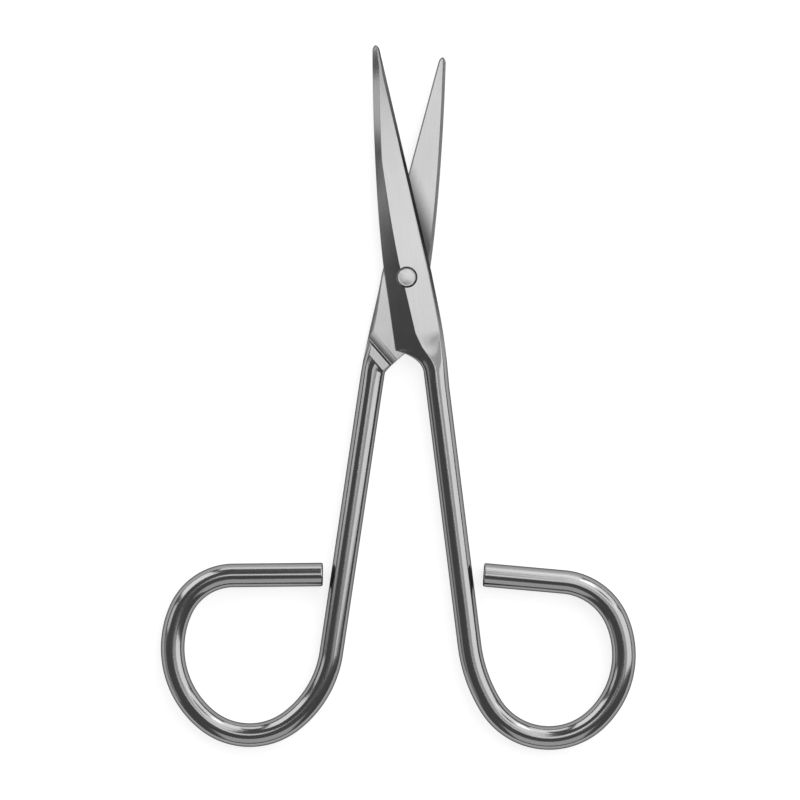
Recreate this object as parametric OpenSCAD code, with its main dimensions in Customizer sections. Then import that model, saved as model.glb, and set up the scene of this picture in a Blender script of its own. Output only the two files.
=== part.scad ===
// Disposable scissors: two halves of forged wire, turned on one rivet.
// Millimetres, +Z up. The scissors lie flat and z = 0 is the surface they lie on.
// The rivet's axis is the Z axis, the tips point to +Y and the finger loops to -Y.

/* [Wire] */
// Diameter of the round wire that each half is bent from
wire_d = 3.8; // [3.2:0.05:4.4]
// Chamfer round the cut end of the wire
end_chamfer = 0.3; // [0.1:0.05:0.6]

/* [Opening] */
// Lean of the front blade to the left when the scissors lie open, in degrees
front_lean = 8.2; // [4:0.1:20]
// Lean of the rear blade to the right when the scissors lie open, in degrees
rear_lean = 9.4; // [4:0.1:20]
// Running gap between the two inner faces
lap_gap = 0.04; // [0.02:0.01:0.1]

/* [Blades] */
// Pivot axis to the tip of the front blade
front_blade_len = 37.5; // [34:0.1:42]
// Pivot axis to the tip of the rear blade, ground a little shorter
rear_blade_len = 35.7; // [34:0.1:42]
// Pivot axis to the back of the blade
back_reach = 3.45; // [3:0.05:4]
// Pivot axis to the cutting side of the blade
edge_reach = 4.05; // [3.6:0.05:4.6]
// Pivot axis to the cutting edge at the front blade's tip
front_tip_reach = 0.82; // [0.6:0.02:1.2]
// Pivot axis to the cutting edge at the rear blade's tip
rear_tip_reach = 0.55; // [0.4:0.02:1.2]
// Width of the blade's nose just behind the rounded tip
nose_w = 1; // [0.7:0.05:1.4]
// Thickness of the blade at its nose
nose_t = 0.85; // [0.6:0.05:1.2]
// Upright land left along the back of the blade
back_t = 0.25; // [0.15:0.05:0.6]
// Thickness left standing along the cutting edge
edge_t = 0.1; // [0.05:0.01:0.2]
// Break along the inner corner of the blade's back
back_break = 0.3; // [0.1:0.05:0.4]

/* [Bevels] */
// Width of the back bevel over the outer half of the blade
back_bevel_w = 1.05; // [0.7:0.05:1.5]
// Width of the back bevel at the root, where the flat ends
root_bevel_w = 3.5; // [2.8:0.05:4]
// Pivot axis to the place where the back bevel begins to widen
bevel_turn_y = 19; // [14:0.5:24]
// Width of the bevel along the cutting edge
edge_bevel_w = 0.5; // [0.4:0.05:1.1]

/* [Forged root] */
// Pivot axis to the level where the forged flat is fully formed
flat_y = 9; // [6:0.5:11]
// Pivot axis to the level where the wire is round again
round_y = 18; // [16.5:0.5:20]
// Pivot axis to the crotch corner of the front half
front_crotch_y = 11.3; // [9:0.1:12.5]
// Pivot axis to the crotch corner of the rear half
rear_crotch_y = 10.2; // [7:0.1:11.2]
// How fast the front crotch falls away: 1 is straight, more is hollow
front_crotch_power = 2.3; // [1:0.1:3]
// How fast the rear crotch falls away: 1 is straight, more is hollow
rear_crotch_power = 1.15; // [1:0.05:3]
// Swelling of the front half's cutting side between the blade and the round wire
front_root_swell = 0.25; // [0:0.01:0.4]
// Swelling of the rear half's cutting side between the blade and the round wire
rear_root_swell = 0.03; // [0:0.01:0.4]
// Break along the root's inner corner on the cutting side, below the pivot
root_break = 0.45; // [0.1:0.05:0.6]
// Pivot axis to the foot of the shoulder, on the wire's centre line
shoulder_y = 11.85; // [11:0.05:14]
// Slant of the shoulder across the shank, in degrees
shoulder_slant = 39.5; // [20:0.5:50]
// Height of the shoulder's ledge above the inner face
ledge_h = 1.15; // [0.7:0.05:1.4]
// Length of the steep step from the inner face up to the ledge, seen from above
step_run = 0.3; // [0.2:0.05:0.8]
// Width of the ledge
ledge_w = 1.3; // [0.8:0.05:2]
// Slope of the ledge, in degrees
ledge_slope = 10; // [0:1:15]
// Length of the steep step from the ledge up to the wire, seen from above
top_run = 0.3; // [0.2:0.05:0.8]
// Depth to which the inner face falls away in front of the shoulder
relief_depth = 0.06; // [0.02:0.01:0.3]
// Length over which it falls away
relief_len = 1.3; // [1:0.1:3]

/* [Front shank and finger loop] */
// Pivot axis to the wire's centre line where the front shank starts
front_shank_x = 2.35; // [1.8:0.01:3]
// Lean of the front shank inwards, in degrees
front_shank_lean = 1.12; // [0:0.01:3]
// Straight length of the front shank below the forged root
front_shank_len = 41.7; // [37:0.1:47]
// Radius of the front loop's first bend
front_bend_1_r = 24; // [16:0.1:28]
// Turn of the front loop's first bend, in degrees
front_bend_1_turn = 24.3; // [18:0.1:50]
// Radius of the front loop's second bend
front_bend_2_r = 11; // [8:0.1:14]
// Turn of the front loop's second bend, in degrees
front_bend_2_turn = 101.5; // [70:0.1:110]
// Radius of the front loop's third bend
front_bend_3_r = 14.1; // [12:0.1:17]
// Turn of the front loop's third bend, in degrees
front_bend_3_turn = 70.2; // [60:0.1:80]
// Radius of the front loop's last bend
front_bend_4_r = 10.2; // [8:0.1:13]
// Turn of the front loop's last bend, in degrees
front_bend_4_turn = 61.8; // [55:0.1:70]
// Straight end of the front loop's wire
front_tail_len = 12.9; // [10:0.1:15]

/* [Rear shank and finger loop] */
// Pivot axis to the wire's centre line where the rear shank starts
rear_shank_x = 2.83; // [1.8:0.01:3.2]
// Lean of the rear shank inwards, in degrees
rear_shank_lean = 0.95; // [0:0.01:3]
// Straight length of the rear shank below the forged root
rear_shank_len = 43.3; // [38:0.1:48]
// Radius of the rear loop's first bend
rear_bend_1_r = 16.7; // [14:0.1:28]
// Turn of the rear loop's first bend, in degrees
rear_bend_1_turn = 44.8; // [18:0.1:50]
// Radius of the rear loop's second bend
rear_bend_2_r = 10.9; // [8:0.1:14]
// Turn of the rear loop's second bend, in degrees
rear_bend_2_turn = 76.9; // [65:0.1:110]
// Radius of the rear loop's third bend
rear_bend_3_r = 14.9; // [12:0.1:17]
// Turn of the rear loop's third bend, in degrees
rear_bend_3_turn = 74.1; // [60:0.1:80]
// Radius of the rear loop's last bend
rear_bend_4_r = 9.3; // [8:0.1:13]
// Turn of the rear loop's last bend, in degrees
rear_bend_4_turn = 65.2; // [55:0.1:70]
// Straight end of the rear loop's wire
rear_tail_len = 14.3; // [10:0.1:16]

/* [Rivet] */
// Diameter of the rivet's shank
rivet_d = 2.1; // [1.8:0.05:2.6]
// Running clearance round the rivet in the front half, on the radius
rivet_clearance = 0.03; // [0.02:0.01:0.06]
// Diameter of the rivet's low head
head_d = 3.45; // [3:0.05:3.8]
// Height of the rivet's low head
head_h = 0.42; // [0.3:0.01:0.6]
// Width of the sloping rim round the head, seen from above
rim_w = 0.3; // [0.1:0.01:0.5]
// Rise of the slight crown over the head's radius
crown_rise = 0.07; // [0.03:0.01:0.3]
// Gap between the head and the front half
head_gap = 0.02; // [0.01:0.01:0.05]
// Diameter of the rivet's tail, closed flush in the rear half
tail_d = 3.1; // [2.7:0.05:3.5]
// Depth of the countersink that the tail fills
tail_h = 0.6; // [0.4:0.05:0.9]

/* [Hidden] */

$fn = 64;
BEND_FN = 180;

// One overrun serves every cut.
over = 1;

wire_r = wire_d / 2;
// The mid-plane between the blades is the plane of the wire's centre line.
mid_z = wire_r;
inner_z = lap_gap / 2;
// The skin of the forged root goes this far inside the wire it grows out of.
skin_inset = 0.02;
// The root's skin ends this far down inside the wire.
skin_end = 0.6;

// Skin points: round the upper side from the back to the edge, and below.
BACK_PTS = 3;
BEVEL_PTS = 7;
FLAT_PTS = 6;
EDGE_PTS = 5;
TOP_PTS = BACK_PTS + BEVEL_PTS + FLAT_PTS + EDGE_PTS;
LOW_PTS = 16;
// Steps of the curve by which the inner face falls away.
RELIEF_PTS = 6;
// Places on the round wire that the flat's two borders grow out of, in degrees.
RIDGE_AT = 80;
EDGE_AT = 50;
BACK_AT = 150;
// Squareness of the root's inner side: 2 is round.
ROUND_POWER = 2;
SQUARE_POWER = 2.3;
// How the blade's back, its flat and the back bevel's border curve along their length: 1 is straight.
BACK_POWER = 1.5;
FLAT_POWER = 1.3;
RIDGE_POWER = 1.1;
// The two bevels take up no more than these shares of the width that is there.
ridge_top_share = 0.6;
flat_end_share = 0.5;

function mix(a, b, t) = a + (b - a) * t;
function ramp01(a, b, v) = max(0, min(1, (v - a) / (b - a)));
function ease(t) = t * t * (3 - 2 * t);

// One half as a list of its own sizes.
FRONT = [front_blade_len, front_tip_reach, front_crotch_y, front_crotch_power,
    front_shank_x, front_shank_lean, front_shank_len, front_root_swell];
REAR = [rear_blade_len, rear_tip_reach, rear_crotch_y, rear_crotch_power,
    rear_shank_x, rear_shank_lean, rear_shank_len, rear_root_swell];
function blade_len(h) = h[0];
function tip_reach(h) = h[1];
function crotch_y(h) = -h[2];
function crotch_power(h) = h[3];
function shank_x(h) = h[4];
function shank_lean(h) = h[5];
function shank_len(h) = h[6];
function root_swell(h) = h[7];

FRONT_BENDS = [[front_bend_1_r, front_bend_1_turn], [front_bend_2_r, front_bend_2_turn],
    [front_bend_3_r, front_bend_3_turn], [front_bend_4_r, front_bend_4_turn]];
REAR_BENDS = [[rear_bend_1_r, rear_bend_1_turn], [rear_bend_2_r, rear_bend_2_turn],
    [rear_bend_3_r, rear_bend_3_turn], [rear_bend_4_r, rear_bend_4_turn]];

// Outline of a half in plan, in its own frame: back at -X, cutting edge at +X.
taper_from_y = 2;
nose_len = nose_w * 0.9;
crotch_run = 4.3;
crotch_end_y = front_crotch_y + crotch_run;
// The thickness left along the cutting edge begins to grow here, towards the root.
land_turn_y = 4;
// The root is still plain round wire over its last stretch.
round_end = 1;
function wire_x(h, y) = shank_x(h) + (y + round_y) * tan(shank_lean(h));
function nose_back(h) = tip_reach(h) - nose_w;
function blade_back(h, y) = mix(-back_reach, nose_back(h),
    pow(max(0, y - taper_from_y) / (blade_len(h) - taper_from_y), BACK_POWER));
function blade_edge(h, y) = edge_reach - (edge_reach - tip_reach(h)) * max(0, y) / blade_len(h);
function crotch_back(h, y) = mix(wire_x(h, y) - wire_r, -back_reach,
    pow(ramp01(-crotch_end_y, crotch_y(h), y), crotch_power(h)));
function nose_share(h, y) = sqrt(1 - pow(ramp01(blade_len(h) - nose_len, blade_len(h), y), 2));
function nose_mid(h) = tip_reach(h) - nose_w / 2;
function plain_back(h, y) = y < crotch_y(h) ? crotch_back(h, y) : blade_back(h, y);
function plain_edge(h, y) = y > 0 ? blade_edge(h, y)
    : mix(edge_reach, wire_x(h, y) + wire_r, ease(ramp01(0, -round_y, y)))
        + root_swell(h) * sin(180 * ramp01(0, -round_y, y));
function back_x(h, y) = mix(nose_mid(h), plain_back(h, y), nose_share(h, y));
function edge_x(h, y) = mix(nose_mid(h), plain_edge(h, y), nose_share(h, y));

// Height of the outer flat above the mid-plane, and the ridge beside the back bevel.
function flat_z(h, y) = mix(wire_r, nose_t,
    pow(max(0, y - taper_from_y) / (blade_len(h) - taper_from_y), FLAT_POWER));
function bevel_w(y) = mix(root_bevel_w, back_bevel_w, ramp01(-flat_y, bevel_turn_y, y));
function ridge_x(h, y) = y > -flat_y
    ? mix(back_x(h, y), edge_x(h, y),
        min(bevel_w(y) / (plain_edge(h, y) - plain_back(h, y)), ridge_top_share))
    : mix(root_bevel_w - back_reach, wire_x(h, y) + wire_r * cos(RIDGE_AT),
        pow(ramp01(-flat_y, -round_y, y), RIDGE_POWER));
function flat_end_x(h, y) = mix(edge_x(h, y), ridge_x(h, y),
    min(edge_bevel_w / (edge_x(h, y) - ridge_x(h, y)), flat_end_share));
function land_z(h, y) = mix(edge_t, wire_r / 2, ease(ramp01(land_turn_y, -round_y / 2, y)));
function edge_land_z(h, y) = min(land_z(h, y) + inner_z, flat_z(h, y));

// The inner corners are broken. The break along the back fades out round the nose, the one
// on the cutting side begins below the pivot, and both fade out where the wire is round.
nose_free_share = 0.3;
break_rise_share = 0.85;
function root_fade(y) = ease(ramp01(round_end - round_y, -shoulder_y, y));
function back_in(h, y) = back_break * root_fade(y) * ramp01(nose_free_share, 1, nose_share(h, y));
function edge_in(y) = root_break * root_fade(y) * ease(ramp01(0, -flat_y, y));

// Upper outline of the ground blade at one level, from the back round to the edge.
function steps(a, b, n) = [for (i = [1 : n]) mix(a, b, i / n)];
function ground_top(h, y) =
    let (b = back_x(h, y), e = edge_x(h, y), r = ridge_x(h, y), f = flat_end_x(h, y),
        k = back_in(h, y), low = [b, break_rise_share * k + 2 * inner_z],
        high = [b, low.y + back_t])
    concat([[b + k, 0], low],
        steps(low, high, BACK_PTS - 1),
        steps(high, [r, flat_z(h, y)], BEVEL_PTS),
        steps([r, flat_z(h, y)], [f, flat_z(h, y)], FLAT_PTS),
        steps([f, flat_z(h, y)], [e, edge_land_z(h, y)], EDGE_PTS - 2),
        [[e, break_rise_share * edge_in(y) + 2 * inner_z], [e - edge_in(y), 0]]);
ROUND_TOP = concat([180], steps(180, BACK_AT, BACK_PTS), steps(BACK_AT, RIDGE_AT, BEVEL_PTS),
    steps(RIDGE_AT, EDGE_AT, FLAT_PTS), steps(EDGE_AT, 0, EDGE_PTS));
function oval(h, y, a, r) = [mix(back_x(h, y), edge_x(h, y), 0.5 + cos(a) / 2), r * sin(a)];
function squared(h, y, a, p, w) = let (c = cos(a), s = sin(a),
        b = back_x(h, y) + w * back_in(h, y), e = edge_x(h, y) - w * edge_in(y))
    [mix(b, e, 0.5 + sign(c) * pow(abs(c), 2 / p) / 2), -wire_r * pow(abs(s), 2 / p)];

// One closed ring of the skin at one level.
shoulder_top_y = -shoulder_y - step_run - ledge_w - top_run;
function forge_share(y) = ease(ramp01(round_end - round_y, -flat_y, y));
function square_power(y) = mix(ROUND_POWER, SQUARE_POWER, ease(ramp01(-round_y, shoulder_top_y, y)));
function ring(h, y) = let (g = ground_top(h, y), w = forge_share(y))
    [for (p = concat(
        [for (i = [0 : TOP_PTS]) mix(oval(h, y, ROUND_TOP[i], wire_r), g[i], w)],
        [for (i = [1 : LOW_PTS - 1]) squared(h, y, i * 180 / LOW_PTS, square_power(y), w)]))
        [p[0], y, p[1]]];
function end_ring(h, y) = let (c = wire_x(h, y), r = wire_r - skin_inset)
    [for (a = concat(ROUND_TOP, [for (i = [1 : LOW_PTS - 1]) -i * 180 / LOW_PTS]))
        [c + r * cos(a), y, r * sin(a)]];

// Levels at which the skin has a ring, closer where it turns.
function levels(a, b, n) = [for (i = [0 : n - 1]) mix(a, b, i / n)];
function skin_levels(h) = concat(
    levels(skin_end / 2 - round_y, crotch_y(h), 10),
    levels(crotch_y(h), taper_from_y, 6),
    levels(taper_from_y, bevel_turn_y, 4),
    levels(bevel_turn_y, blade_len(h) - nose_len, 6),
    [for (a = [0 : 15 : 75]) blade_len(h) - nose_len * (1 - sin(a))],
    [blade_len(h) - nose_len * (1 - sin(85))]);

// Forged and ground upper part of one half, as one closed skin.
module forged_blade(h) {
    rings = concat([end_ring(h, -round_y - skin_end), end_ring(h, -round_y)],
        [for (y = skin_levels(h)) ring(h, y)]);
    n = TOP_PTS + LOW_PTS;
    m = len(rings);
    pts = [for (r = rings) for (p = r) p];
    sides = [for (j = [0 : m - 2]) for (i = [0 : n - 1])
        let (a = j * n + i, b = j * n + (i + 1) % n)
        for (t = [[a, a + n, b], [b, a + n, b + n]]) t];
    low = [[for (i = [0 : n - 1]) i]];
    high = [[for (i = [0 : n - 1]) m * n - 1 - i]];
    polyhedron(points = pts, faces = concat(sides, low, high), convexity = 6);
}

// What is forged and ground off the inner side, as a profile across the shoulder: the inner
// face falls away a little, steps up to a ledge and steps up again to the round wire.
cut_len = front_blade_len + rear_blade_len;
cut_depth = 2 * wire_d;
ledge_start = [-step_run, -ledge_h];
ledge_end = ledge_start - ledge_w * [1, tan(ledge_slope)];
top_slope = (wire_r + ledge_end.y) / top_run;
inner_profile = concat(
    [[cut_len, -cut_depth], [cut_len, inner_z]],
    [for (i = [0 : RELIEF_PTS]) let (t = i / RELIEF_PTS)
        [relief_len * (1 - t), inner_z + relief_depth * t * t]],
    [ledge_start, ledge_end, [ledge_end.x - (cut_depth + ledge_end.y) / top_slope, -cut_depth]]);
module inner_cut(h) {
    translate([wire_x(h, -shoulder_y), -shoulder_y, 0])
        rotate([0, 0, shoulder_slant])
            rotate([90, 0, 90])
                linear_extrude(height = 2 * cut_len, center = true)
                    polygon(inner_profile);
}

// The wire runs on in straight lengths and bends; each one starts where the last one ends.
// Every second length is a hair thinner and enters both its neighbours, so that they join cleanly.
join_lap = 0.06;
join_hair = 0.004;
thin_r = wire_r - join_hair;
function ahead(p, a, s) = p + s * [cos(a), sin(a)];
function bend_mid(p, a, r) = p + r * [-sin(a), cos(a)];
function bend_out(p, a, r, turn) = bend_mid(p, a, r) + r * [sin(a + turn), -cos(a + turn)];
module straight(p, a, s) {
    translate([p.x, p.y, 0])
        rotate([0, 0, a])
            rotate([0, 90, 0])
                cylinder(r = wire_r, h = s);
}
module bend(p, a, r, turn, thin) {
    c = bend_mid(p, a, r);
    more = thin ? join_lap * 180 / (PI * r) : 0;
    translate([c.x, c.y, 0])
        rotate([0, 0, a - 90 - more])
            rotate_extrude(angle = turn + 2 * more, $fn = BEND_FN)
                translate([r, 0])
                    circle(r = thin ? thin_r : wire_r);
}
module cut_end(p, a, s) {
    translate([p.x, p.y, 0])
        rotate([0, 0, a])
            rotate([0, 90, 0])
                rotate_extrude()
                    polygon([[0, -join_lap], [thin_r, -join_lap], [thin_r, s - end_chamfer],
                        [thin_r - end_chamfer, s], [0, s]]);
}
module bent_wire(h, bends, tail_len) {
    a0 = -90 - shank_lean(h);
    p0 = [shank_x(h), -round_y];
    p1 = ahead(p0, a0, shank_len(h));
    a1 = a0 + bends[0][1];
    p2 = bend_out(p1, a0, bends[0][0], bends[0][1]);
    a2 = a1 + bends[1][1];
    p3 = bend_out(p2, a1, bends[1][0], bends[1][1]);
    a3 = a2 + bends[2][1];
    p4 = bend_out(p3, a2, bends[2][0], bends[2][1]);
    a4 = a3 + bends[3][1];
    p5 = bend_out(p4, a3, bends[3][0], bends[3][1]);
    straight(p0, a0, shank_len(h));
    bend(p1, a0, bends[0][0], bends[0][1], true);
    bend(p2, a1, bends[1][0], bends[1][1], false);
    bend(p3, a2, bends[2][0], bends[2][1], true);
    bend(p4, a3, bends[3][0], bends[3][1], false);
    cut_end(p5, a4, tail_len);
}

// One half of the scissors, without its rivet hole.
module half(h, bends, tail_len) {
    difference() {
        union() {
            forged_blade(h);
            bent_wire(h, bends, tail_len);
        }
        inner_cut(h);
    }
}

// The front half lies on top with its outer face up; the rear half is turned over.
module front_half() {
    color([0.72, 0.73, 0.74])
        difference() {
            translate([0, 0, mid_z])
                rotate([0, 0, front_lean])
                    half(FRONT, FRONT_BENDS, front_tail_len);
            cylinder(r = rivet_d / 2 + rivet_clearance, h = wire_d + over);
        }
}
module rear_half() {
    color([0.66, 0.67, 0.68])
        difference() {
            translate([0, 0, mid_z])
                rotate([0, 180, 0])
                    rotate([0, 0, rear_lean])
                        half(REAR, REAR_BENDS, rear_tail_len);
            rivet_tail(over);
        }
}

// The rivet: its tail fills the countersink in the rear half.
module rivet_tail(below) {
    translate([0, 0, -below])
        cylinder(r = tail_d / 2, h = below);
    cylinder(r1 = tail_d / 2, r2 = rivet_d / 2, h = tail_h);
    cylinder(r = rivet_d / 2, h = wire_d);
}
module rivet_head() {
    r = head_d / 2;
    crown_r = (r * r + crown_rise * crown_rise) / (2 * crown_rise);
    intersection() {
        cylinder(r1 = r, r2 = r - rim_w, h = head_h);
        translate([0, 0, head_h - crown_r])
            sphere(r = crown_r);
    }
}
module rivet() {
    head_z = wire_d + head_gap;
    color([0.8, 0.8, 0.8]) {
        rotate_extrude()
            polygon([[0, 0], [tail_d / 2, 0], [rivet_d / 2, tail_h], [rivet_d / 2, head_z + head_gap],
                [0, head_z + head_gap]]);
        translate([0, 0, head_z])
            rivet_head();
    }
}

front_half();
rear_half();
rivet();
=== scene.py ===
import logging
import math
from collections.abc import Sequence
from dataclasses import dataclass
from enum import Enum
from typing import Any

import bmesh
import bpy
from mathutils import Matrix, Vector


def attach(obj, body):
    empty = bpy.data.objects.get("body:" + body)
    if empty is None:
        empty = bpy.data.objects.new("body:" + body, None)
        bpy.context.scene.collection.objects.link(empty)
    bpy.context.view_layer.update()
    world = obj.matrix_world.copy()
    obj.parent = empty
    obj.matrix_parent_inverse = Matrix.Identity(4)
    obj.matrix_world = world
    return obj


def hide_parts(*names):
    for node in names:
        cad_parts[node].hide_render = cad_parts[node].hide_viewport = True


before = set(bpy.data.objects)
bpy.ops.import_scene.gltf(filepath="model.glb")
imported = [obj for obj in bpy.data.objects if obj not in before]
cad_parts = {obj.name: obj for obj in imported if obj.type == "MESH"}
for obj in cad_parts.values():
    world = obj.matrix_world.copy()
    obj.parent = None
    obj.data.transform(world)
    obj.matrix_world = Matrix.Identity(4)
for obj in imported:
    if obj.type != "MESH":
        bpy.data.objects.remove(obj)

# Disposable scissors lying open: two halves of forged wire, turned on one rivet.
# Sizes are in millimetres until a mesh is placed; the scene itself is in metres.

LOG = logging.getLogger("scissors")
MM = 0.001
# How bright steel gets where it is seen edge-on; it is low for the photograph's dark outlines.
EDGE_TINT = 0.1
# Points that lie nearer to each other than this become one, in millimetres.
MERGE_DIST = 1e-4
Point = tuple[float, float]
Colour = tuple[float, float, float, float]


def mix(a: float, b: float, t: float) -> float:
    """The number that lies the share t of the way from a to b."""
    return a + (b - a) * t


def share(a: float, b: float, value: float) -> float:
    """How far value lies from a to b, kept between 0 and 1."""
    return max(0.0, min(1.0, (value - a) / (b - a)))


def ease(t: float) -> float:
    """A share that starts and ends gently."""
    return t * t * (3 - 2 * t)


def grey(level: float, warmth: float = 0.0) -> Colour:
    """A neutral colour, a little warmer above 0 and cooler below.

    Args:
        level: How light it is, as a linear value.
        warmth: How far red and blue are pulled apart.

    Returns:
        The colour with full alpha.
    """
    return (level * (1 + warmth), level, level * (1 - warmth), 1.0)


class Value:
    """A shader socket that can be used in sums like a number."""

    def __init__(self, net: "Net", socket: bpy.types.NodeSocket) -> None:
        """Keeps the socket and the net that it belongs to."""
        self.net = net
        self.socket = socket

    def __add__(self, other: "Value | float") -> "Value":
        """This value plus another."""
        return self.net.maths("ADD", self, other)

    def __radd__(self, other: "Value | float") -> "Value":
        """Another value plus this one."""
        return self.net.maths("ADD", other, self)

    def __sub__(self, other: "Value | float") -> "Value":
        """This value less another."""
        return self.net.maths("SUBTRACT", self, other)

    def __rsub__(self, other: "Value | float") -> "Value":
        """Another value less this one."""
        return self.net.maths("SUBTRACT", other, self)

    def __mul__(self, other: "Value | float") -> "Value":
        """This value times another."""
        return self.net.maths("MULTIPLY", self, other)

    def __rmul__(self, other: "Value | float") -> "Value":
        """Another value times this one."""
        return self.net.maths("MULTIPLY", other, self)

    def held(self) -> "Value":
        """This value, kept between 0 and 1."""
        return self.net.maths("MAXIMUM", self.net.maths("MINIMUM", self, 1.0), 0.0)

    def smooth(self, start: float, end: float) -> "Value":
        """How far this value lies from start to end, starting and ending gently."""
        node = self.net.node(
            "ShaderNodeMapRange",
            {"interpolation_type": "SMOOTHSTEP"},
            {"Value": self, "From Min": start, "From Max": end},
        )
        return Value(self.net, node.outputs["Result"])


class Net:
    """The nodes of one material or world."""

    def __init__(self, tree: bpy.types.NodeTree) -> None:
        """Starts with an empty tree."""
        self.tree = tree
        tree.nodes.clear()

    def node(
        self,
        kind: str,
        settings: dict[str, Any] | None = None,
        values: dict[str | int, Any] | None = None,
    ) -> bpy.types.Node:
        """Adds one node.

        Args:
            kind: The node's type.
            settings: Its own settings, which are set first.
            values: A number, a colour or a link for each socket that needs one.

        Returns:
            The new node.
        """
        made = self.tree.nodes.new(kind)
        for name, setting in (settings or {}).items():
            setattr(made, name, setting)
        for name, value in (values or {}).items():
            if isinstance(value, Value):
                self.tree.links.new(value.socket, made.inputs[name])
            else:
                made.inputs[name].default_value = value
        return made

    def maths(self, operation: str, *terms: "Value | float") -> Value:
        """One Math node on up to three terms."""
        made = self.node("ShaderNodeMath", {"operation": operation}, dict(enumerate(terms)))
        return Value(self, made.outputs[0])

    def stretch(self, place: Value, scale: Sequence[float]) -> Value:
        """A place with each of its directions scaled by its own number."""
        made = self.node("ShaderNodeVectorMath", {"operation": "MULTIPLY"}, {0: place, 1: scale})
        return Value(self, made.outputs["Vector"])

    def noise(self, place: Value, scale: float, detail: float = 2.0, rough: float = 0.5) -> Value:
        """A cloudy pattern round one half.

        Args:
            place: Where the pattern is read.
            scale: How many of its spots fit in one unit.
            detail: How many finer layers it has.
            rough: How strong the finer layers are.

        Returns:
            The pattern's value.
        """
        made = self.node(
            "ShaderNodeTexNoise",
            {},
            {"Vector": place, "Scale": scale, "Detail": detail, "Roughness": rough},
        )
        return Value(self, made.outputs[0])

    def blend(self, a: "Value | Colour", b: "Value | Colour", factor: "Value | float") -> Value:
        """Two colours mixed by a factor."""
        made = self.node("ShaderNodeMix", {"data_type": "RGBA"}, {0: factor, 6: a, 7: b})
        return Value(self, made.outputs[2])

    def bump(self, height: Value, distance: float, strength: float) -> Value:
        """A Bump node on a height, for a shader's Normal."""
        made = self.node(
            "ShaderNodeBump", {}, {"Height": height, "Distance": distance, "Strength": strength}
        )
        return Value(self, made.outputs["Normal"])


class Zone(Enum):
    """Parts of a half that are finished in their own way, in the order of its material slots."""

    WIRE = 0
    FLAT = 1
    BEVEL = 2
    INNER = 3
    SHOULDER = 4
    EDGE = 5
    END = 6


@dataclass(frozen=True)
class Finish:
    """How one zone of the steel is finished.

    Sizes are in millimetres. Streaks run along the wire or the blade.
    """

    name: str
    tone: float
    tone_spread: float
    roughness: float
    roughness_spread: float
    streak_w: float
    streak_len: float
    scratch_depth: float
    warmth: float = 0.0

    def look(self, net: Net, place: Value) -> tuple[Value, Value, Value]:
        """Works out the finish's colour, roughness and height at a place.

        Args:
            net: The material's nodes.
            place: The place on the straightened wire, in millimetres.

        Returns:
            Tone, roughness and height in millimetres.
        """
        across, along = 1 / self.streak_w, 1 / self.streak_len
        streaks = net.noise(net.stretch(place, (across, across, along)), 1.0, 3.0, 0.55)
        clouds = net.noise(net.stretch(place, (0.45, 0.45, 0.16)), 1.0, 2.0)
        lines = net.noise(net.stretch(place, (across * 5, across * 5, along * 1.4)), 1.0, 2.0, 0.6)
        wear = (streaks - 0.5) * 1.3 + (clouds - 0.5) * 0.9
        tone = self.tone + wear * self.tone_spread
        rough = self.roughness + ((lines - 0.5) + (clouds - 0.5)) * self.roughness_spread
        height = (lines + streaks * 0.6) * self.scratch_depth
        return tone, rough, height


@dataclass(frozen=True)
class HalfSteel:
    """The material of one zone: the drawn wire's finish, passing over into the zone's own."""

    wire: Finish
    own: Finish
    fade: Point = (8.0, 16.5)
    # How dark the painted shade is that stands for the other blade's shadow beyond the pivot.
    painted_shade: float = 0.0

    @staticmethod
    def painted_shade_patch(net: Net) -> Value:
        """Painted shade beyond the pivot, where the other blade shades the inner face, strongest at
        the edges.
        """
        own = net.node("ShaderNodeAttribute", {"attribute_name": "own_place"})
        apart = net.node("ShaderNodeSeparateXYZ", {}, {0: Value(net, own.outputs["Vector"])})
        across, up = Value(net, apart.outputs["X"]), Value(net, apart.outputs["Y"])
        slope_up, slope_across = 1.4, 2.3
        strong_to, gone_from = 13.0, 22.5
        pivot_side, blade_side = -1.0, 2.0
        away = up * slope_up - across * slope_across
        return (1 - away.smooth(strong_to, gone_from)) * up.smooth(pivot_side, blade_side)

    def make(self) -> bpy.types.Material:
        """Makes the material."""
        material = bpy.data.materials.new(self.own.name)
        material.use_nodes = True
        net = Net(material.node_tree)
        drawn = net.node("ShaderNodeAttribute", {"attribute_name": "drawn"})
        place = Value(net, drawn.outputs["Vector"])
        apart = net.node("ShaderNodeSeparateXYZ", {}, {0: place})
        along = Value(net, apart.outputs["Z"])
        tone, rough, height = self.wire.look(net, place)
        if self.own is not self.wire:
            ground = 1 - along.smooth(*self.fade)
            own_tone, own_rough, own_height = self.own.look(net, place)
            # Beyond the pivot the inner face is darkened: painted shade of the other blade.
            if self.painted_shade:
                own_tone = own_tone * (1 - self.painted_shade_patch(net) * self.painted_shade)
            tone = tone + (own_tone - tone) * ground
            rough = rough + (own_rough - rough) * ground
            height = height + (own_height - height) * ground
        colour = net.blend(grey(0.0), grey(1.0, self.own.warmth), tone)
        shader = net.node(
            "ShaderNodeBsdfPrincipled",
            {},
            {
                "Base Color": colour,
                "Metallic": 1.0,
                "Roughness": rough.held(),
                "Specular Tint": grey(EDGE_TINT),
                "Normal": net.bump(height, MM, 1.0),
            },
        )
        net.node("ShaderNodeOutputMaterial", {}, {0: Value(net, shader.outputs[0])})
        return material


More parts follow.
